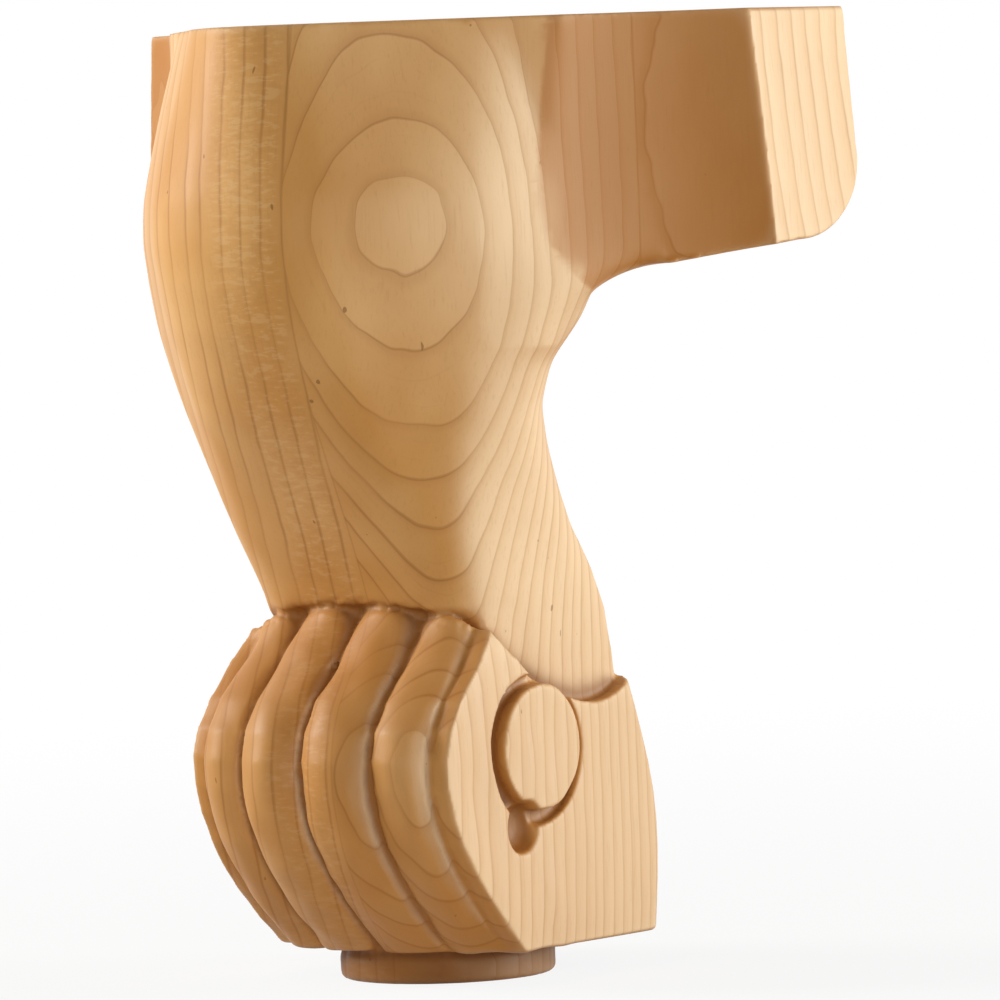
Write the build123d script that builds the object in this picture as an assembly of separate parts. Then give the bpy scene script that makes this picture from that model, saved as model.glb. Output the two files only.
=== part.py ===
from build123d import *
import os
from math import sqrt

# Carved corner leg of the French cabriole type, in millimetres.
# The origin is the centre of the pad's underside. Z is up, and the outer corner of the leg points to -Y.
# The leg is the same on both sides of the plane X = 0. An ear runs back at 45 degrees on each side:
# "along" is the distance in the right ear's direction, and "across" the distance square to it.

# Whole leg
HEIGHT = 203.0

# Leg from the top block over the knee to the ankle: height, then the corners of the outline
# (front, face, side front, side back, back) as X and Y. The leg touches the middle of each side of it.
LEG_STATIONS = (
    (203.0, ((8.5, -62.0), (29.4, -40.6), (49.3, -19.4), (49.3, 8.0), (10.0, 44.0))),
    (184.0, ((10.8, -65.5), (32.8, -45.6), (48.7, -27.5), (52.0, 0.0), (10.0, 43.0))),
    (163.0, ((14.3, -69.3), (36.7, -49.0), (48.3, -33.4), (56.5, -7.0), (11.0, 41.0))),
    (145.0, ((13.7, -67.0), (34.6, -47.2), (48.0, -33.1), (59.5, -11.5), (12.0, 31.5))),
    (134.0, ((15.0, -61.9), (32.4, -45.2), (45.6, -32.7), (49.0, -14.0), (14.0, 20.5))),
    (123.0, ((16.5, -55.7), (29.8, -42.8), (41.9, -32.3), (43.0, -14.0), (16.0, 14.5))),
    (100.0, ((18.5, -39.8), (27.2, -34.5), (33.8, -27.5), (35.2, 3.0), (24.0, 12.0))),
    (80.0, ((17.0, -28.3), (25.0, -25.0), (30.2, -18.5), (31.2, 16.0), (27.5, 24.0))),
    (60.0, ((16.0, -22.0), (22.0, -19.0), (28.0, -13.0), (30.5, 21.0), (28.5, 27.0))),
    (50.0, ((16.0, -22.0), (22.0, -19.0), (28.0, -13.0), (30.5, 21.0), (28.5, 27.0))),
)
LEG_SECTIONS = 18          # evenly spaced sections that the leg is lofted through

# Ears
EAR_FACE = 49.5            # outer face from the leg's centre, across, at the top
EAR_FACE_DRAFT = 0.045     # how far the outer face leans out for each mm down
EAR_BACK = 18.0            # inner face from the leg's centre, across
EAR_END = 88.5             # blunt end, along, at the top
EAR_END_DRAFT = 0.06
EAR_FACET = 80.5           # sawn end facet, parallel to the plane X = 0, at the top
EAR_FACET_DRAFT = 0.082
EAR_CORNER = 16.5          # rounding of the ear's lower corner
EAR_UNDERSIDE = 154.4      # height of the underside beside that rounding
SWEEP_RADIUS = 28.6        # sweep from the underside into the leg
SWEEP_CENTRE_ALONG = 46.5
SWEEP_CENTRE_HEIGHT = 122.0
EAR_ROOT = 5.0             # where the ear starts inside the leg, along
EAR_FOOT = 138.0           # where it ends inside the leg, in height
EAR_FOOT_FACE = 43.0       # outer face at that foot, across
EAR_BEVEL_TOP = 152.0      # height where the outer face has turned in towards the foot

# Scoop in each ear's outer face
SCOOP_RADIUS = 57.0
SCOOP_ALONG = 44.0
SCOOP_DEPTH = 3.3          # at the top
SCOOP_FOOT = 142.0         # lower end of the gouge, in height
SCOOP_FOOT_SLOPE = 10.0    # it runs out there at 45 degrees, over this length

# Scroll foot: height, front of the ribs at X = 0, half width, depth of the middle groove
FOOT_STATIONS = (
    (7.0, -26.0, 33.0, 3.6),
    (15.0, -35.0, 33.7, 4.2),
    (25.0, -44.0, 34.0, 4.6),
    (36.0, -50.6, 34.0, 4.8),
    (48.5, -53.1, 34.0, 5.0),
    (59.0, -49.2, 33.8, 4.8),
    (69.0, -38.8, 33.1, 4.4),
    (77.0, -31.2, 31.9, 3.8),
    (86.0, -26.6, 30.0, 3.2),
)
FOOT_SECTIONS = 14         # evenly spaced sections that the foot is lofted through
FOOT_BACK = ((7.0, 33.2), (36.0, 33.0), (62.0, 25.3), (86.0, 17.0))
FOOT_BACK_CORNER = 4.0
RIB_ARC = 58.0             # radius of the front in plan
GROOVES = (0.0, 0.5, 0.87)             # groove places as shares of the half width
GROOVE_DEPTHS = (1.0, 0.85, 0.5)       # their depths as shares of the middle groove's

# Upper edge of the scroll foot, seen from the side: Y and height
COLLAR = (
    (-60.0, 82.6),
    (-29.0, 81.4),
    (-24.0, 76.8),
    (-15.0, 68.5),
    (2.0, 59.5),
    (14.0, 58.0),
    (26.0, 63.0),
    (44.0, 78.0),
)
COLLAR_RELIEF = -21.0      # Y to which the leg is cut back under that edge, behind the grooves

# Volute on each side of the foot
VOLUTE_Y = -10.0
VOLUTE_HEIGHT = 50.0
VOLUTE_RADIUS = 13.3
VOLUTE_PROUD = 1.2
VOLUTE_EDGE = 0.4          # chamfer round its face
VOLUTE_GROOVE = 2.6
VOLUTE_GROOVE_DEPTH = 2.6
VOLUTE_GROOVE_SHIFT = 0.6  # how far the groove lies forwards, down and out of the eye's centre
PIT_Y = -16.5
PIT_HEIGHT = 33.5
PIT_RADIUS = 6.0
PIT_CENTRE = 2.1           # how far the gouge's ball stands out of the foot's side

# Pad
PAD_DIAMETER = 46.0
PAD_TOP = 12.0
PAD_EDGE = 0.8


def ear_point(along, across, height):
    """Point of the right ear from its own two directions."""
    return Vector((along - across) / sqrt(2), (along + across) / sqrt(2), height)


def slope(stations, index, pick):
    """Slope of one value at a station, from the stations on both sides of it."""
    before = stations[max(index - 1, 0)]
    after = stations[min(index + 1, len(stations) - 1)]
    return (pick(after) - pick(before)) / (after[0] - before[0])


def between(stations, height, pick):
    """One value at any height, on a smooth curve through the stations."""
    index = 0
    while index < len(stations) - 2 and (stations[index + 1][0] - height) * (stations[0][0] - height) > 0:
        index += 1
    start, end = stations[index], stations[index + 1]
    span = end[0] - start[0]
    t = (height - start[0]) / span
    keep = pick(start) * (2 * t ** 3 - 3 * t ** 2 + 1) + pick(end) * (3 * t ** 2 - 2 * t ** 3)
    lean_in = slope(stations, index, pick) * (t ** 3 - 2 * t ** 2 + t)
    lean_out = slope(stations, index + 1, pick) * (t ** 3 - t ** 2)
    return keep + (lean_in + lean_out) * span


def even_heights(stations, count):
    """Evenly spaced heights from the first station to the last."""
    first, last = stations[0][0], stations[-1][0]
    return [first + (last - first) * i / (count - 1) for i in range(count)]


def leg_corners(height):
    """The five corners of the leg's outline at one height, on its right half."""
    corners = []
    for corner in range(len(LEG_STATIONS[0][1])):
        x = between(LEG_STATIONS, height, lambda station: station[1][corner][0])
        y = between(LEG_STATIONS, height, lambda station: station[1][corner][1])
        corners.append((x, y))
    return corners


def leg_section(height):
    """Closed curve that touches the middle of each side of the outline at one height."""
    corners = leg_corners(height)
    right = [Vector(x, y, height) for x, y in corners]
    left = [Vector(-x, y, height) for x, y in reversed(corners)]
    ring = right + left
    count = len(ring)
    middles = [(ring[i - 1] + ring[i]) / 2 for i in range(count)]
    edges = [Bezier(middles[i], ring[i], middles[(i + 1) % count]) for i in range(count)]
    return Face(Wire(edges))


def make_leg():
    """The top block, knee and ankle as one body of ruled strips between its sections."""
    heights = even_heights(LEG_STATIONS, LEG_SECTIONS)
    return loft([leg_section(height) for height in heights], ruled=True)


def ear_face(height):
    """Distance of the right ear's outer face from the leg's centre, at one height."""
    if height < EAR_BEVEL_TOP:
        return EAR_FOOT_FACE
    return EAR_FACE + EAR_FACE_DRAFT * (HEIGHT - height)


def ear_plan(height):
    """Outline of the right ear at one height, with its drafted faces."""
    down = HEIGHT - height
    face = -ear_face(height)
    facet = EAR_FACET + EAR_FACET_DRAFT * down
    end = EAR_END + EAR_END_DRAFT * down
    arris = face + sqrt(2) * facet
    shoulder = end - sqrt(2) * facet
    corners = ((EAR_ROOT, face), (arris, face), (end, shoulder), (end, -EAR_BACK), (EAR_ROOT, -EAR_BACK))
    return Face(Wire.make_polygon([ear_point(a, b, height) for a, b in corners], close=True))


def ear_side():
    """Sawn outline of the right ear, seen square to it and carried through the blank."""
    across = -2 * EAR_FACE
    end = EAR_END + EAR_END_DRAFT * HEIGHT
    corner_top = EAR_UNDERSIDE + EAR_CORNER
    end_low = EAR_END + EAR_END_DRAFT * (HEIGHT - corner_top)
    corner_in = end_low - EAR_CORNER
    blend = EAR_CORNER / sqrt(2)
    foot_rise = EAR_FOOT - SWEEP_CENTRE_HEIGHT
    foot_along = SWEEP_CENTRE_ALONG - sqrt(SWEEP_RADIUS ** 2 - foot_rise ** 2)
    lean = SWEEP_RADIUS / 2
    sweep_mid = ear_point(SWEEP_CENTRE_ALONG - lean, across, SWEEP_CENTRE_HEIGHT + sqrt(3) * lean)
    sweep_top = ear_point(SWEEP_CENTRE_ALONG, across, SWEEP_CENTRE_HEIGHT + SWEEP_RADIUS)
    sweep_low = ear_point(foot_along, across, EAR_FOOT)
    root_low = ear_point(EAR_ROOT, across, EAR_FOOT)
    root_top = ear_point(EAR_ROOT, across, HEIGHT)
    corner_start = ear_point(corner_in, across, EAR_UNDERSIDE)
    corner_mid = ear_point(corner_in + blend, across, corner_top - blend)
    corner_end = ear_point(end_low, across, corner_top)
    edges = (
        Line(root_top, ear_point(end, across, HEIGHT)),
        Line(ear_point(end, across, HEIGHT), ear_point(end, across, corner_top)),
        Line(ear_point(end, across, corner_top), corner_end),
        ThreePointArc(corner_end, corner_mid, corner_start),
        Line(corner_start, sweep_top),
        ThreePointArc(sweep_top, sweep_mid, sweep_low),
        Line(sweep_low, root_low),
        Line(root_low, root_top),
    )
    return extrude(Face(Wire(edges)), amount=2 * EAR_FACE, dir=(-1, 1, 0))


def make_ear():
    """The right ear: its drafted plan, cut to the sawn side outline."""
    block = loft([ear_plan(EAR_FOOT), ear_plan(EAR_BEVEL_TOP), ear_plan(HEIGHT)], ruled=True)
    return block & ear_side()


def make_scoop():
    """Upright drum that hollows the right ear's outer face."""
    across = -(EAR_FACE - SCOOP_DEPTH + SCOOP_RADIUS)
    base = ear_point(SCOOP_ALONG, across, SCOOP_FOOT)
    drum = Cylinder(SCOOP_RADIUS, HEIGHT, align=(Align.CENTER, Align.CENTER, Align.MIN))
    drum = chamfer(drum.faces().sort_by(Axis.Z)[0].edges(), SCOOP_FOOT_SLOPE)
    return Pos(base.X, base.Y, base.Z) * drum


def rib_front(x, front):
    """Y of the ribs' crowns, on one wide arc in plan."""
    return front + RIB_ARC - sqrt(RIB_ARC ** 2 - x ** 2)


def foot_section(height):
    """Foot outline at one height: ribs as arcs between sharp grooves, flat sides and a flat back."""
    front = between(FOOT_STATIONS, height, lambda station: station[1])
    half = between(FOOT_STATIONS, height, lambda station: station[2])
    depth = between(FOOT_STATIONS, height, lambda station: station[3])
    places = [share * half for share in GROOVES]
    right = [(x, rib_front(x, front) + depth * share) for x, share in zip(places, GROOVE_DEPTHS)]
    grooves = [(-x, y) for x, y in reversed(right[1:])] + right
    edges = []
    for (x0, y0), (x1, y1) in zip(grooves, grooves[1:]):
        crown = (x0 + x1) / 2
        top = (crown, rib_front(crown, front), height)
        edges.append(ThreePointArc((x0, y0, height), top, (x1, y1, height)))
    arris = rib_front(half, front)
    back = between(FOOT_BACK, height, lambda station: station[1])
    corner = FOOT_BACK_CORNER
    blend = corner * (1 - sqrt(0.5))
    right_side = (half, back - corner, height)
    right_back = (half - corner, back, height)
    left_back = (corner - half, back, height)
    left_side = (-half, back - corner, height)
    edges += [
        Line((*right[-1], height), (half, arris, height)),
        Line((half, arris, height), right_side),
        ThreePointArc(right_side, (half - blend, back - blend, height), right_back),
        Line(right_back, left_back),
        ThreePointArc(left_back, (blend - half, back - blend, height), left_side),
        Line(left_side, (-half, arris, height)),
        Line((-half, arris, height), (*grooves[0], height)),
    ]
    return Face(Wire(edges))


def make_above_collar():
    """Everything over the curved collar line, right across the leg."""
    reach = 2 * HEIGHT
    first = (0, *COLLAR[0])
    last = (0, *COLLAR[-1])
    first_top = (0, COLLAR[0][0], reach)
    last_top = (0, COLLAR[-1][0], reach)
    collar = Spline([(0, y, z) for y, z in COLLAR])
    outline = Wire([collar, Line(last, last_top), Line(last_top, first_top), Line(first_top, first)])
    return extrude(Face(outline), amount=HEIGHT / 2, dir=(1, 0, 0), both=True)


def make_foot(above):
    """The fluted scroll foot, cut off at the collar line."""
    heights = even_heights(FOOT_STATIONS, FOOT_SECTIONS)
    return loft([foot_section(height) for height in heights], ruled=True) - above


def make_relief(above):
    """What is carved off the leg's front under the collar line, so that the grooves start there."""
    front = COLLAR[0][0]
    block = Box(HEIGHT, COLLAR_RELIEF - front, HEIGHT / 2, align=(Align.CENTER, Align.MIN, Align.MIN))
    return Pos(0, front, 0) * block - above


def make_volute(half):
    """Raised eye of the scroll on the right side."""
    length = VOLUTE_PROUD + VOLUTE_GROOVE_DEPTH
    eye = Cylinder(VOLUTE_RADIUS, length, align=(Align.CENTER, Align.CENTER, Align.MAX))
    eye = chamfer(eye.faces().sort_by(Axis.Z)[-1].edges(), VOLUTE_EDGE)
    return Pos(half + VOLUTE_PROUD, VOLUTE_Y, VOLUTE_HEIGHT) * Rot(0, 90, 0) * eye


def make_volute_groove(half):
    """Round recess that the eye stands in."""
    recess = Cylinder(VOLUTE_RADIUS + VOLUTE_GROOVE, 2 * VOLUTE_GROOVE_DEPTH)
    shift = VOLUTE_GROOVE_SHIFT
    return Pos(half + shift, VOLUTE_Y - shift, VOLUTE_HEIGHT - shift) * Rot(0, 90, 0) * recess


def make_pit(half):
    """Gouged dimple under the eye."""
    return Pos(half + PIT_CENTRE, PIT_Y, PIT_HEIGHT) * Sphere(PIT_RADIUS)


def make_pad():
    """Round pad that the leg stands on."""
    pad = Cylinder(PAD_DIAMETER / 2, PAD_TOP, align=(Align.CENTER, Align.CENTER, Align.MIN))
    return chamfer(pad.faces().sort_by(Axis.Z)[0].edges(), PAD_EDGE)


def both_sides(shape):
    """A right-hand shape with its mirror image on the left."""
    return shape + mirror(shape, about=Plane.YZ)


half = FOOT_STATIONS[4][2]
above_collar = make_above_collar()
leg = make_leg() - make_relief(above_collar)
leg = leg + both_sides(make_ear()) - both_sides(make_scoop())
leg = leg + make_foot(above_collar) + make_pad()
leg = leg - both_sides(make_volute_groove(half))
leg = leg + both_sides(make_volute(half))
leg = leg - both_sides(make_pit(half))

os.makedirs("parts", exist_ok=True)
export_step(leg, "parts/leg.step")
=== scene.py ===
import math

import bmesh
import bpy
import numpy as np
from mathutils import Matrix


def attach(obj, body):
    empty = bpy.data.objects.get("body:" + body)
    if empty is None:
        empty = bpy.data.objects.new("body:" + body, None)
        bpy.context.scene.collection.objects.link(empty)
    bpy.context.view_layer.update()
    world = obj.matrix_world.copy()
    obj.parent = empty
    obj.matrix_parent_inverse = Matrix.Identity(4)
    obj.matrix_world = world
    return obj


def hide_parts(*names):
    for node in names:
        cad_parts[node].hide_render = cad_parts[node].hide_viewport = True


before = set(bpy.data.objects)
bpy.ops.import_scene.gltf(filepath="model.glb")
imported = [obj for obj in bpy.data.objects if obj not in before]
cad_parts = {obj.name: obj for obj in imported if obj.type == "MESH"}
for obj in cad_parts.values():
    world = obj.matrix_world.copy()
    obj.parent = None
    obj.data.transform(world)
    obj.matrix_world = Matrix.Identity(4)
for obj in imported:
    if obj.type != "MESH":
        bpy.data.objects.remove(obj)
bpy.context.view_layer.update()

# The leg: one carved and sanded piece of pale hard maple, glued up from a main blank, a front strip
# and a block for each ear. The knee and ankle are shaped with rasps, the ears are scooped with a
# wide gouge, and the scroll foot is fluted and cut with its volutes by hand.
VOXEL = 0.00058            # fineness that the carved skin is worked at, in metres
PIECE_TRIANGLES = 180000
EASE = 0.5                 # share of the way to its neighbours' mean that a point moves in one pass
ARRIS_HOLD = 0.48          # how much of that share a full arris holds back
ARRIS_FROM = 0.004         # how unlike the normals nearby are on a faint and on a full arris
ARRIS_FULL = 0.02
ARRIS_REACH = 7            # passes that look for unlike normals
ARRIS_SPREAD = 3           # passes that widen what was found
SANDING_PASSES = 60
TAUT_PASSES = 700
BROAD_PASSES = 90          # passes that give the broad form, which the hollows are measured from
SQRT_HALF = math.sqrt(0.5)


def merged_skin(node):
    """A closed, evenly fine copy of a solid: its corners merged, then resampled on a cube grid."""
    mesh = bpy.data.meshes.new("leg_skin")
    grid = bmesh.new()
    grid.from_mesh(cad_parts[node].data)
    bmesh.ops.remove_doubles(grid, verts=grid.verts, dist=1e-6)
    grid.to_mesh(mesh)
    grid.free()
    obj = bpy.data.objects.new("leg_skin", mesh)
    bpy.context.collection.objects.link(obj)
    remesh = obj.modifiers.new("even", "REMESH")
    remesh.mode = "VOXEL"
    remesh.voxel_size = VOXEL
    remesh.use_smooth_shade = True
    settled(obj)
    return obj


def settled(obj):
    """The object with its modifiers worked into its mesh."""
    graph = bpy.context.evaluated_depsgraph_get()
    mesh = bpy.data.meshes.new_from_object(obj.evaluated_get(graph))
    obj.modifiers.clear()
    obj.data = mesh


def places(mesh):
    """All vertex places of a mesh as rows of X, Y and Z, in metres."""
    flat = np.empty(len(mesh.vertices) * 3)
    mesh.vertices.foreach_get("co", flat)
    return flat.reshape(-1, 3)


def directions(mesh):
    """All vertex normals of a mesh as rows."""
    flat = np.empty(len(mesh.vertices) * 3, dtype=np.float32)
    mesh.vertex_normals.foreach_get("vector", flat)
    return flat.reshape(-1, 3).astype(float)


def edge_ends(mesh):
    """The two vertices of each edge, as two rows."""
    flat = np.empty(len(mesh.edges) * 2, dtype=np.int32)
    mesh.edges.foreach_get("vertices", flat)
    return flat.reshape(-1, 2).T


def neighbour_mean(values, ends, counts):
    """Mean of each vertex's neighbours, for one value or a row of values per vertex."""
    a, b = ends
    columns = values.reshape(len(values), -1).T
    size = len(values)
    sums = [np.bincount(a, c[b], size) + np.bincount(b, c[a], size) for c in columns]
    return (np.array(sums) / counts).T.reshape(values.shape)


def ramp(values, low, high):
    """Smooth step from 0 at low to 1 at high."""
    t = np.clip((values - low) / (high - low), 0, 1)
    return t * t * (3 - 2 * t)


def waves(points, length, seed, count=24):
    """Soft unevenness of about -1 to 1: a sum of sine waves of one length in random directions."""
    draw = np.random.default_rng(seed)
    axes = draw.normal(size=(count, 3))
    axes /= np.linalg.norm(axes, axis=1)[:, None]
    phases = draw.uniform(0, 2 * math.pi, count)
    stretch = draw.uniform(0.7, 1.4, count) * 2 * math.pi / length
    return np.sin(points @ (axes * stretch[:, None]).T + phases).sum(axis=1) / math.sqrt(count)


leg = merged_skin("leg")
mesh = leg.data
ends = edge_ends(mesh)
size = len(mesh.vertices)
counts = np.maximum(np.bincount(ends[0], minlength=size) + np.bincount(ends[1], minlength=size), 1)

# Sanding: flat and rounded faces are evened out, and the arrises keep most of their edge. The
# measure of an arris is how much the normals differ nearby: the mean of unlike normals is short.
normals = directions(mesh)
mean = normals
for _ in range(ARRIS_REACH):
    mean = neighbour_mean(mean, ends, counts)
sharp = ramp(1 - np.linalg.norm(mean, axis=1), ARRIS_FROM, ARRIS_FULL)
for _ in range(ARRIS_SPREAD):
    sharp = np.maximum(sharp, neighbour_mean(sharp, ends, counts))
rate = (EASE - ARRIS_HOLD * sharp)[:, None]
points = places(mesh)
for _ in range(SANDING_PASSES):
    points += rate * (neighbour_mean(points, ends, counts) - points)

# Each scoop runs out at its inner lower end without a ledge: there the skin is drawn taut, as the
# last strokes of the gouge leave it. That is 12 to 36 mm along the ear and 141 to 168 mm high, and
# eases off around it. From here on all places, sizes and depths are in mm.
x, y, z = points.T * 1000
along_ear = (np.abs(x) + y) * SQRT_HALF
across_ear = (y - np.abs(x)) * SQRT_HALF
taut = ramp(along_ear, 4, 12) * ramp(along_ear, 46, 36) * ramp(z, 134, 141) * ramp(z, 182, 168)
taut *= ramp(across_ear, -42, -46)
drawn = np.flatnonzero(taut > 0)
order = np.zeros(size, dtype=int)
order[drawn] = np.arange(len(drawn))
pairs = order[ends[:, (taut[ends] > 0).all(axis=0)]]
tally = np.maximum(np.bincount(pairs.ravel(), minlength=len(drawn)), 1)
patch, pull = points[drawn], EASE * taut[drawn, None]
for _ in range(TAUT_PASSES):
    patch += pull * (neighbour_mean(patch, pairs, tally) - patch)
points[drawn] = patch

mesh.vertices.foreach_set("co", points.ravel())
mesh.update()
normals = directions(mesh)
mm = points * 1000
x, y, z = mm.T

# Hand work: a little unevenness from rasp and paper on the knee, flat tool marks along the ribs,
# torn fibres where the gouge stopped under the collar, and parting cuts that run deeper between the
# ribs. Marks have a depth, a length and a squeeze that draws them out in height. The collar has its
# top at X 0, its fall with the square of X, and how far from it the fibres are torn.
RASP_DEPTH, RASP_LENGTH = 0.10, 34
TOOL_DEPTH, TOOL_LENGTH, TOOL_SQUEEZE = 0.20, 8, (1, 1, 0.35)
TORN_DEPTH, TORN_LENGTH, TORN_SQUEEZE = 0.20, 2.4, (1, 1, 0.5)
COLLAR_TOP, COLLAR_FALL, COLLAR_REACH = 81.4, 0.0075, 0.9
CUT_SHARE, CUT_MOST = 0.8, 1.6         # how much deeper the cuts run, for hollows up to this depth
foot = ramp(z, 84, 78) * ramp(y, 6, -6)
push = RASP_DEPTH * waves(mm, RASP_LENGTH, 1) * (1 - foot)
push += TOOL_DEPTH * waves(mm * TOOL_SQUEEZE, TOOL_LENGTH, 2) * foot
collar = COLLAR_TOP - COLLAR_FALL * x ** 2
torn = np.exp(-((z - collar) / COLLAR_REACH) ** 2) * ramp(y, -16, -21)
push += TORN_DEPTH * torn * waves(mm * TORN_SQUEEZE, TORN_LENGTH, 3)
broad = points
for _ in range(BROAD_PASSES):
    broad = neighbour_mean(broad, ends, counts)
hollow = ((broad - points) * normals).sum(axis=1) * 1000
push -= CUT_SHARE * np.clip(hollow, 0, CUT_MOST) * foot
push *= ramp(z, 1, 7) * ramp(z, 202.5, 197)     # the pad's sole and the top stay flat
points += normals * (push / 1000)[:, None]
mesh.vertices.foreach_set("co", points.ravel())
mesh.update()

# What the colour takes from the shape, kept with each point: end grain where the wood is cut across,
# hollows, which are painted with shade and their raised arrises with a paler painted highlight,
# flanks that face sideways, which are painted paler as painted light, the scoops, which are painted
# with shade, and the carved foot, which is darker partly as its cut wood and partly as painted
# shade.
# The painted shade in a scoop has its inner edge at these heights so far along the ear.
EDGE_HEIGHTS = (143, 145, 149, 156, 164, 179, 203)
EDGE_ALONG = (36, 30.5, 24.9, 19.8, 17.6, 18.9, 21.8)
facing = np.abs(directions(mesh))
# flank is how far a face turns sideways; the colour paints flanks a paler cream as painted light
cut_across, flank = facing[:, 2], facing[:, 0]
along_ear = (np.abs(x) + y) * SQRT_HALF
across_ear = (y - np.abs(x)) * SQRT_HALF
# painted shade in the scoops, with a crisp painted shadow edge along their inner side
scoop_painted_shade = ramp(along_ear - np.interp(z, EDGE_HEIGHTS, EDGE_ALONG), -1.0, 1.0)
scoop_painted_shade *= ramp(along_ear, 84, 82) * ramp(across_ear, -43.5, -46)
scoop_painted_shade *= ramp(flank, 0.97, 0.9) * ramp(z, 139, 143)
# the foot and the leg below 100 mm are darker partly as their cut wood and partly as painted shade
foot_cut_wood_and_shade = ramp(z, 82, 78) * ramp(y, -2, -12) * ramp(flank, 0.95, 0.8)
foot_cut_wood_and_shade = np.maximum(foot_cut_wood_and_shade, 0.5 * ramp(z, 100, 55))
GRAIN_AND_PAINTED_LIGHT = {
    "cut_across": cut_across,
    "hollow": hollow,
    "flank": flank,
    "scoop_painted_shade": scoop_painted_shade,
    "foot_cut_wood_and_shade": foot_cut_wood_and_shade,
}
for name, values in GRAIN_AND_PAINTED_LIGHT.items():
    layer = mesh.attributes.new(name, "FLOAT", "POINT")
    layer.data.foreach_set("value", values.astype(np.float32))

thin = leg.modifiers.new("thin", "DECIMATE")
thin.ratio = min(1.0, PIECE_TRIANGLES / (2 * len(mesh.polygons)))
settled(leg)
leg.name = "carved_leg"
leg.data.name = "carved_leg"
leg.data.polygons.foreach_set("use_smooth", np.ones(len(leg.data.polygons), dtype=bool))


def linear(code):
    """Linear colour of an sRGB hex value, with alpha 1."""
    parts = [int(code[i:i + 2], 16) / 255 for i in (1, 3, 5)]
    return [p / 12.92 if p <= 0.04045 else ((p + 0.055) / 1.055) ** 2.4 for p in parts] + [1.0]


def add(kind, sockets=None, **settings):
    """Adds a node to the tree in hand. A socket takes a value, or a node or output to link."""
    node = tree.nodes.new(kind)
    for name, value in settings.items():
        setattr(node, name, value)
    for name, value in (sockets or {}).items():
        if isinstance(value, bpy.types.Node):
            value = next(output for output in value.outputs if output.enabled)
        if isinstance(value, bpy.types.NodeSocket):
            tree.links.new(value, node.inputs[name])
        else:
            node.inputs[name].default_value = value
    return node


# Hard maple, planed, carved and sanded, with no finish on it: pale cream wood with brown lines
# where one year's growth ends, a fine close fibre, and small flecks on the front strip.
RING = 4.65                # one year's growth, mm
LEAST_SLANT = 0.06         # lowest sine between face and years, which keeps the lines from spreading
WANDER = 3.2               # how far the years wander over the whole leg, mm
RIPPLE = 0.95              # how far they stray in small ripples, mm
WIDTH_CHANGE = 3.0         # how far uneven widths shift them, mm
maple = bpy.data.materials.new("hard_maple_sanded")
maple.use_nodes = True
tree = maple.node_tree
tree.nodes.clear()

place = add("ShaderNodeTexCoord").outputs["Object"]
grown = add("ShaderNodeVectorMath", {0: place, 1: (1000, 1000, 1000)}, operation="MULTIPLY")  # mm

# Soft solid patterns in the wood: cycles per mm, detail, roughness and squeeze along X, Y and Z
PATTERNS = {
    "wander": (0.02, 1.0, 0.5, (1, 1, 1)),
    "ripple": (0.11, 1.0, 0.5, (1, 1, 1)),
    "fading": (0.035, 1.0, 0.5, (1, 1, 1)),
    "fine_fading": (0.06, 1.0, 0.5, (1, 1, 1)),
    "fibre": (1.7, 3.0, 0.6, (1, 1, 0.05)),
    "pores": (3.2, 2.0, 0.7, (1, 1, 0.09)),
    "cloud": (0.045, 2.0, 0.5, (1, 1, 0.5)),
    "fleck": (0.30, 2.0, 0.6, (1, 1, 3.4)),
    "mineral": (0.55, 0.0, 0.0, (1, 1, 0.5)),
}
pattern = {}
for name, (cycles, detail, rough, squeeze) in PATTERNS.items():
    pulled = add("ShaderNodeMapping", {"Vector": grown, "Scale": squeeze})
    sockets = {"Vector": pulled, "Scale": cycles, "Detail": detail, "Roughness": rough}
    pattern[name] = add("ShaderNodeTexNoise", sockets)

# The boards of the blank, the later ones cut into the earlier: the main board, the front strip and
# the two ear blocks. Each has the side it lies on, how far out it starts and its lowest height, the
# way its years lie, the way they bow, the bow's middle and strength, and where its count begins.
ACROSS = (-SQRT_HALF, SQRT_HALF, 0)
ALONG = (SQRT_HALF, SQRT_HALF, 0)
UP = (0, 0, 1)
BOARDS = (
    ((0, 0, 1), -1.0, -1.0, (SQRT_HALF, -SQRT_HALF, 0), ALONG, -11.0, -0.011, 0.6),
    ((-1, -0.275, 0), 3.2, -1.0, (0.93, 0.36, 0), UP, 0.0, 0.0, 0.0),
    (ALONG, 40.0, 100.0, (-0.51, 0.86, 0), UP, 178.0, -0.0018, 2.0),
    (ACROSS, 40.0, 100.0, (0.51, 0.86, 0), UP, 178.0, -0.0018, 0.0),
)
height = add("ShaderNodeVectorMath", {0: grown, 1: UP}, operation="DOT_PRODUCT")
GLUE_FROM, GLUE_FULL = 0.30, 0.12      # half widths of a glue line, mm
depth, grain, glue, insides = 0.0, (0, 0, 1), 0.0, []
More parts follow.
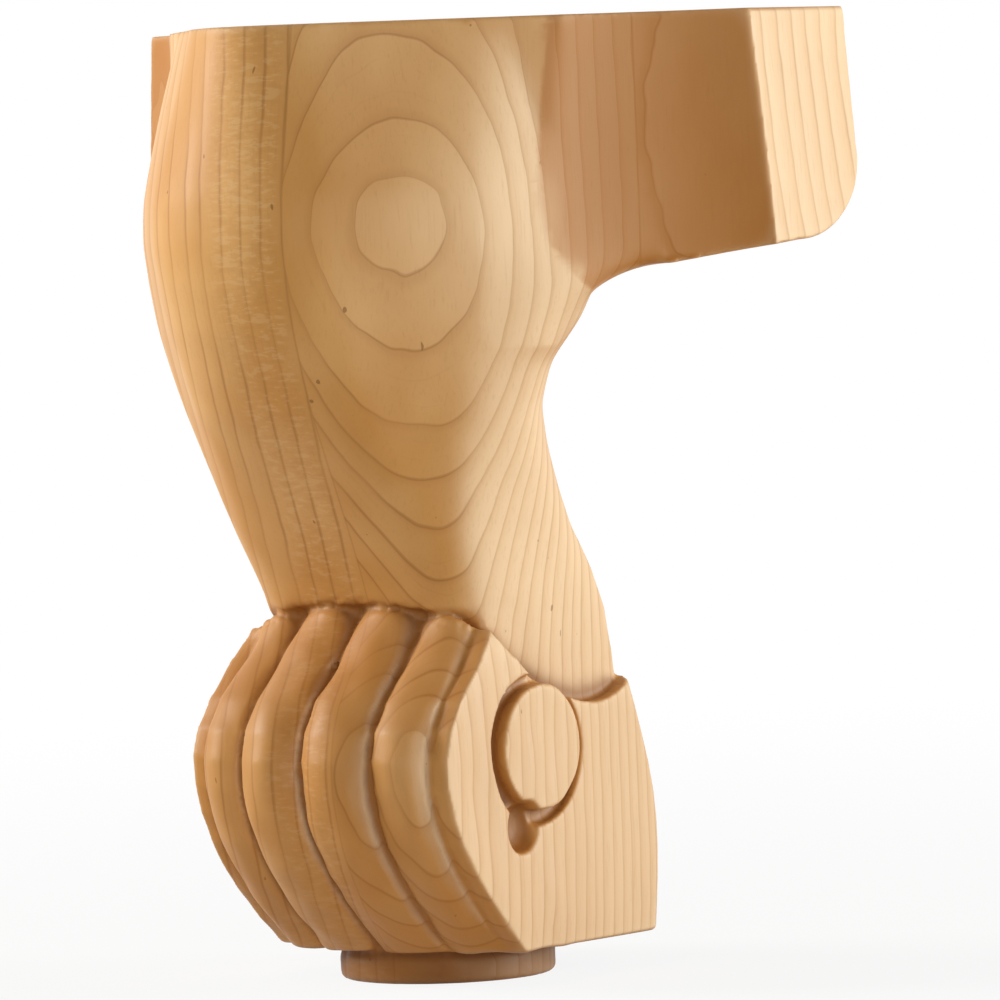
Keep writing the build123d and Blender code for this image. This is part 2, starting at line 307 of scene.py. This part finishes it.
for side, start, lowest, lead, bow_way, bow_middle, bow, count_from in BOARDS:
    reach = add("ShaderNodeVectorMath", {0: grown, 1: side}, operation="DOT_PRODUCT")
    within = add("ShaderNodeMath", {0: reach, 1: start}, operation="SUBTRACT")
    lifted = add("ShaderNodeMath", {0: height, 1: lowest}, operation="SUBTRACT")
    within = add("ShaderNodeMath", {0: within, 1: lifted}, operation="MINIMUM")
    mask = add("ShaderNodeMath", {0: within, 1: 0.0}, operation="GREATER_THAN")
    years_deep = add("ShaderNodeVectorMath", {0: grown, 1: lead}, operation="DOT_PRODUCT")
    years_deep = add("ShaderNodeMath", {0: years_deep, 1: count_from}, operation="ADD")
    bowed = add("ShaderNodeVectorMath", {0: grown, 1: bow_way}, operation="DOT_PRODUCT")
    bowed = add("ShaderNodeMath", {0: bowed, 1: bow_middle}, operation="SUBTRACT")
    bowed = add("ShaderNodeMath", {0: bowed, 1: bowed}, operation="MULTIPLY")
    years_deep = add("ShaderNodeMath", {0: bowed, 1: bow, 2: years_deep}, operation="MULTIPLY_ADD")
    depth = add("ShaderNodeMix", {0: mask, 2: depth, 3: years_deep}, data_type="FLOAT")
    grain = add("ShaderNodeMix", {0: mask, 4: grain, 5: lead}, data_type="VECTOR")
    gap = add("ShaderNodeMath", {0: within}, operation="ABSOLUTE")
    joint = {0: gap, 1: GLUE_FROM, 2: GLUE_FULL}
    joint = add("ShaderNodeMapRange", joint, interpolation_type="SMOOTHSTEP")
    glue = add("ShaderNodeMath", {0: glue, 1: joint}, operation="MAXIMUM")
    insides.append(within)
strip_place = insides[1]

# How many years deep a point lies, a little unsteady, and how far the face is from lying along
# them. The patterns run about 0.5, so half of what they add is taken off again.
unsteady = add("ShaderNodeMath", {0: pattern["wander"], 1: WANDER}, operation="MULTIPLY")
ripple = {0: pattern["ripple"], 1: RIPPLE, 2: unsteady}
unsteady = add("ShaderNodeMath", ripple, operation="MULTIPLY_ADD")
unsteady = add("ShaderNodeMath", {0: unsteady, 1: -0.5 * (WANDER + RIPPLE)}, operation="ADD")
wide_years = {"W": depth, "Scale": 0.13, "Detail": 1.0}
wide_years = add("ShaderNodeTexNoise", wide_years, noise_dimensions="1D")
uneven = add("ShaderNodeMath", {0: wide_years, 1: -0.5}, operation="ADD")
uneven = {0: uneven, 1: WIDTH_CHANGE, 2: unsteady}
unsteady = add("ShaderNodeMath", uneven, operation="MULTIPLY_ADD")
years = add("ShaderNodeMath", {0: depth, 1: unsteady}, operation="ADD")
years = add("ShaderNodeMath", {0: years, 1: RING}, operation="DIVIDE")
year = add("ShaderNodeMath", {0: years}, operation="FRACT")
facing = add("ShaderNodeNewGeometry").outputs["Normal"]
slant = add("ShaderNodeVectorMath", {0: facing, 1: grain}, operation="CROSS_PRODUCT")
slant = add("ShaderNodeVectorMath", {0: slant}, operation="LENGTH")
slant = add("ShaderNodeMath", {0: slant, 1: LEAST_SLANT}, operation="MAXIMUM")

# The kept values: end grain, and the painted shade, painted highlight and painted light taken from
# the shape
grain_and_painted_light = {}
for name in GRAIN_AND_PAINTED_LIGHT:
    grain_and_painted_light[name] = add("ShaderNodeAttribute", attribute_name=name).outputs["Fac"]

# Lines of an even width on the surface, fainter on the flanks: a strong one where each year ends,
# and weak ones between. Lines per year, half width in mm, and the pattern that lets them fade, from
# which value to which and down to how much.
LINE_CORE = 0.15           # share of a line's half width that has its full strength
LINES = (
    (1, 0.62, pattern["fading"], 0.38, 0.60, 0.3),
    (3, 0.30, pattern["fine_fading"], 0.45, 0.65, 0.0),
)
faint_flank = add("ShaderNodeMapRange", {0: grain_and_painted_light["flank"], 1: 0.5, 2: 0.95, 3: 1.0, 4: 0.5})
lines = []
for per_year, width, fading, low, high, least in LINES:
    share = add("ShaderNodeMath", {0: years, 1: per_year}, operation="MULTIPLY")
    gap = add("ShaderNodeMath", {0: share, 1: 0.5}, operation="PINGPONG")
    gap = add("ShaderNodeMath", {0: gap, 1: RING / per_year}, operation="MULTIPLY")
    gap = add("ShaderNodeMath", {0: gap, 1: slant}, operation="DIVIDE")
    line = {0: gap, 1: width, 2: width * LINE_CORE}
    line = add("ShaderNodeMapRange", line, interpolation_type="SMOOTHSTEP")
    shown = add("ShaderNodeMapRange", {0: fading, 1: low, 2: high, 3: least})
    shown = add("ShaderNodeMath", {0: shown, 1: faint_flank}, operation="MULTIPLY")
    lines.append(add("ShaderNodeMath", {0: line, 1: shown}, operation="MULTIPLY"))

# Ray fleck shows where the front strip is cut square to its years, between these distances from its
# edge in mm, as brown and pale scales
FLECK_OUT, FLECK_FADE, FLECK_IN = 22.0, 12.0, 3.0
outer = {0: strip_place, 1: FLECK_OUT, 2: FLECK_FADE}
outer = add("ShaderNodeMapRange", outer, interpolation_type="SMOOTHSTEP")
inner = {0: strip_place, 1: 0.0, 2: FLECK_IN}
inner = add("ShaderNodeMapRange", inner, interpolation_type="SMOOTHSTEP")
fleck_zone = add("ShaderNodeMath", {0: outer, 1: inner}, operation="MULTIPLY")
fleck = {}
for name, low, high in (("brown", 0.53, 0.60), ("pale", 0.46, 0.39)):
    scale = {0: pattern["fleck"], 1: low, 2: high}
    scale = add("ShaderNodeMapRange", scale, interpolation_type="SMOOTHSTEP")
    fleck[name] = add("ShaderNodeMath", {0: scale, 1: fleck_zone}, operation="MULTIPLY")

# The colour, laid layer on layer: what shows the layer, from which value to which, how much of it
# there, and its tone. Flanks are painted cream as painted light and flat faces are tan; end grain is
# a deeper brown; scoops and hollows are painted shade in deeper brown; the carved foot and the pad
# by the floor are deeper brown partly as their cut wood and partly as painted shade; raised arrises
# are painted paler as a painted highlight.
LAYERS = (
    (pattern["cloud"], 0.3, 0.7, 1.0, "#CF944D"),
    # painted light: flanks turned to the side lamps are painted a paler cream
    (grain_and_painted_light["flank"], 0.55, 0.97, 0.72, "#EFD6B2"),
    (year, 0.25, 0.97, 0.18, "#BE8544"),
    (lines[1], 0.0, 1.0, 0.07, "#A87338"),
    (year, 0.80, 1.0, 0.20, "#A96C30"),
    (lines[0], 0.0, 1.0, 0.38, "#8F5620"),
    (pattern["fibre"], 0.5, 0.78, 0.16, "#AE7A40"),
    (pattern["pores"], 0.60, 0.80, 0.16, "#9C6931"),
    (fleck["brown"], 0.0, 1.0, 0.10, "#A9723A"),
    (fleck["pale"], 0.0, 1.0, 0.14, "#F0D2A0"),
    (glue, 0.0, 1.0, 0.26, "#99662F"),
    (pattern["mineral"], 0.875, 0.895, 0.6, "#724417"),
    (grain_and_painted_light["cut_across"], 0.15, 1.0, 0.45, "#A0662B"),
    # painted shade: the scoops are painted a deeper orange-brown
    (grain_and_painted_light["scoop_painted_shade"], 0.0, 1.0, 0.62, "#AB661F"),
    # the carved foot is deeper brown partly as its cut wood and partly as painted shade
    (grain_and_painted_light["foot_cut_wood_and_shade"], 0.0, 1.0, 0.34, "#9F6122"),
    # painted shade: hollows and groove walls are painted a dark brown
    (grain_and_painted_light["hollow"], 0.03, 0.9, 0.62, "#7A4414"),
    # painted highlight: raised arrises are painted a paler cream
    (grain_and_painted_light["hollow"], -0.5, -1.8, 0.18, "#F2DAB0"),
    # the pad by the floor is dark brown partly as its cut wood and partly as painted shade
    (height, 7.6, 6.4, 0.66, "#6E3C0E"),
)
colour = linear("#DDA967")
for shows, low, high, most, tone in LAYERS:
    share = {0: shows, 1: low, 2: high, 4: most}
    share = add("ShaderNodeMapRange", share, interpolation_type="SMOOTHSTEP")
    colour = add("ShaderNodeMix", {0: share, 6: colour, 7: linear(tone)}, data_type="RGBA")

tooth = add("ShaderNodeMath", {0: pattern["fibre"], 1: pattern["pores"]}, operation="ADD")
relief = add("ShaderNodeBump", {"Height": tooth, "Strength": 0.05, "Distance": 0.0003})
surface = add("ShaderNodeBsdfPrincipled", {
    "Base Color": colour,
    "Roughness": add("ShaderNodeMapRange", {0: year, 1: 0.25, 2: 0.97, 3: 0.46, 4: 0.56}),
    "IOR": 1.5,
    "Specular IOR Level": 0.22,
    "Normal": relief,
})
add("ShaderNodeOutputMaterial", {"Surface": surface})

leg.data.materials.clear()
leg.data.materials.append(maple)
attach(leg, "root")
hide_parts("leg")

# The studio: a pale sheet on a table under soft lamps. It looks white, and near the leg it also
# keeps some of the leg's shadow.
FLOOR_HALF = 3.0           # half the sheet's side, in metres
SHADE_REACH = 0.8          # how far from the leg the sheet still shows its own shade, in metres
SHADE_SHARE = 0.12         # how much of its own shade it shows under the leg
SOFT_LIGHT = 0.12          # strength of the light that comes from all round


def seen_directly():
    """Links in the tree in hand that give 1 on camera, glossy and transmission rays, else 0."""
    path = add("ShaderNodeLightPath")
    seen = {0: path.outputs["Is Camera Ray"], 1: path.outputs["Is Glossy Ray"]}
    seen = add("ShaderNodeMath", seen, operation="MAXIMUM")
    seen = {0: seen, 1: path.outputs["Is Transmission Ray"]}
    return add("ShaderNodeMath", seen, operation="MAXIMUM")


sheet = bpy.data.materials.new("white_sheet")
sheet.use_nodes = True
tree = sheet.node_tree
tree.nodes.clear()
far = add("ShaderNodeTexCoord").outputs["Object"]
far = add("ShaderNodeVectorMath", {0: far}, operation="LENGTH")
white_share = {0: far, 1: 0.0, 2: SHADE_REACH, 3: 1.0 - SHADE_SHARE, 4: 1.0}
white_share = add("ShaderNodeMapRange", white_share, interpolation_type="SMOOTHSTEP")
matt = add("ShaderNodeBsdfDiffuse", {"Color": linear("#DCDAD7")})
plain = add("ShaderNodeEmission", {"Color": linear("#FFFFFF"), "Strength": 1.0})
shown = add("ShaderNodeMath", {0: seen_directly(), 1: white_share}, operation="MULTIPLY")
mixed = add("ShaderNodeMixShader", {0: shown, 1: matt, 2: plain})
add("ShaderNodeOutputMaterial", {"Surface": mixed})

corners = [(-FLOOR_HALF, -FLOOR_HALF, 0), (FLOOR_HALF, -FLOOR_HALF, 0)]
corners += [(FLOOR_HALF, FLOOR_HALF, 0), (-FLOOR_HALF, FLOOR_HALF, 0)]
floor_mesh = bpy.data.meshes.new("floor_sheet")
floor_mesh.from_pydata(corners, [], [(0, 1, 2, 3)])
floor_mesh.materials.append(sheet)
floor = bpy.data.objects.new("floor_sheet", floor_mesh)
bpy.context.collection.objects.link(floor)

world = bpy.data.worlds.new("studio")
bpy.context.scene.world = world
world.use_nodes = True
tree = world.node_tree
tree.nodes.clear()
soft = add("ShaderNodeBackground", {"Color": linear("#FFFFFF"), "Strength": SOFT_LIGHT})
white = add("ShaderNodeBackground", {"Color": linear("#FFFFFF"), "Strength": 1.0})
mixed = add("ShaderNodeMixShader", {0: seen_directly(), 1: soft, 2: white})
add("ShaderNodeOutputWorld", {"Surface": mixed})


def standing(x_axis, y_axis, z_axis, place):
    """Matrix of an object with these three axes at this place."""
    columns = [np.append(axis, 0.0) for axis in (x_axis, y_axis, z_axis)] + [np.append(place, 1.0)]
    return Matrix(np.column_stack(columns).tolist())


# The camera stands 37 degrees round from the leg's outer corner, a little under the leg's top.
YAW = math.radians(37.0)
ROLL = math.radians(2.2)
PICTURE = 1000             # pixels across the picture that the next two numbers are measured in
FOCAL_PIXELS = 7800.0
HORIZON_ROW = 134.0
SENSOR = 36.0              # mm
EYE_HEIGHT = 0.1788        # metres, as are the next two
EYE_ASIDE = 0.01486
EYE_DISTANCE = 1.663
towards = np.array([math.sin(YAW), -math.cos(YAW), 0.0])
aside = np.array([math.cos(YAW), math.sin(YAW), 0.0])
upright = np.array([0.0, 0.0, 1.0])
pitch = math.atan((PICTURE / 2 - HORIZON_ROW) / FOCAL_PIXELS)
back = towards * math.cos(pitch) + upright * math.sin(pitch)
up = upright * math.cos(pitch) - towards * math.sin(pitch)
right = aside * math.cos(ROLL) - up * math.sin(ROLL)
above = aside * math.sin(ROLL) + up * math.cos(ROLL)
eye = towards * EYE_DISTANCE + aside * EYE_ASIDE + upright * EYE_HEIGHT
lens = bpy.data.cameras.new("camera")
lens.sensor_width = SENSOR
lens.lens = FOCAL_PIXELS * SENSOR / PICTURE
lens.clip_end = 20
camera = bpy.data.objects.new("camera", lens)
camera.matrix_world = standing(right, above, back, eye)
bpy.context.collection.objects.link(camera)
bpy.context.scene.camera = camera

# Square lamps that face the leg: turn to the right of the camera and lift, both in degrees,
# distance and width in metres, and power in watts
LAMPS = (
    ("key", 84, 12, 1.4, 0.8, 17.0),
    ("fill", -102, 26, 1.4, 0.6, 20.0),
    ("front", 2, 3, 1.8, 1.0, 12.0),
)
AIM_HEIGHT = 0.1           # height on the leg that the lamps face, in metres
for name, turn, lift, distance, width, power in LAMPS:
    turn, lift = math.radians(turn), math.radians(lift)
    outward = towards * math.cos(turn) + aside * math.sin(turn)
    outward = outward * math.cos(lift) + upright * math.sin(lift)
    side = np.cross(upright, outward)
    side /= np.linalg.norm(side)
    top = np.cross(outward, side)
    data = bpy.data.lights.new(name, "AREA")
    data.shape = "SQUARE"
    data.size = width
    data.energy = power
    lamp = bpy.data.objects.new(name, data)
    lamp.matrix_world = standing(side, top, outward, outward * distance + upright * AIM_HEIGHT)
    bpy.context.collection.objects.link(lamp)

bpy.context.scene.view_settings.view_transform = "Standard"
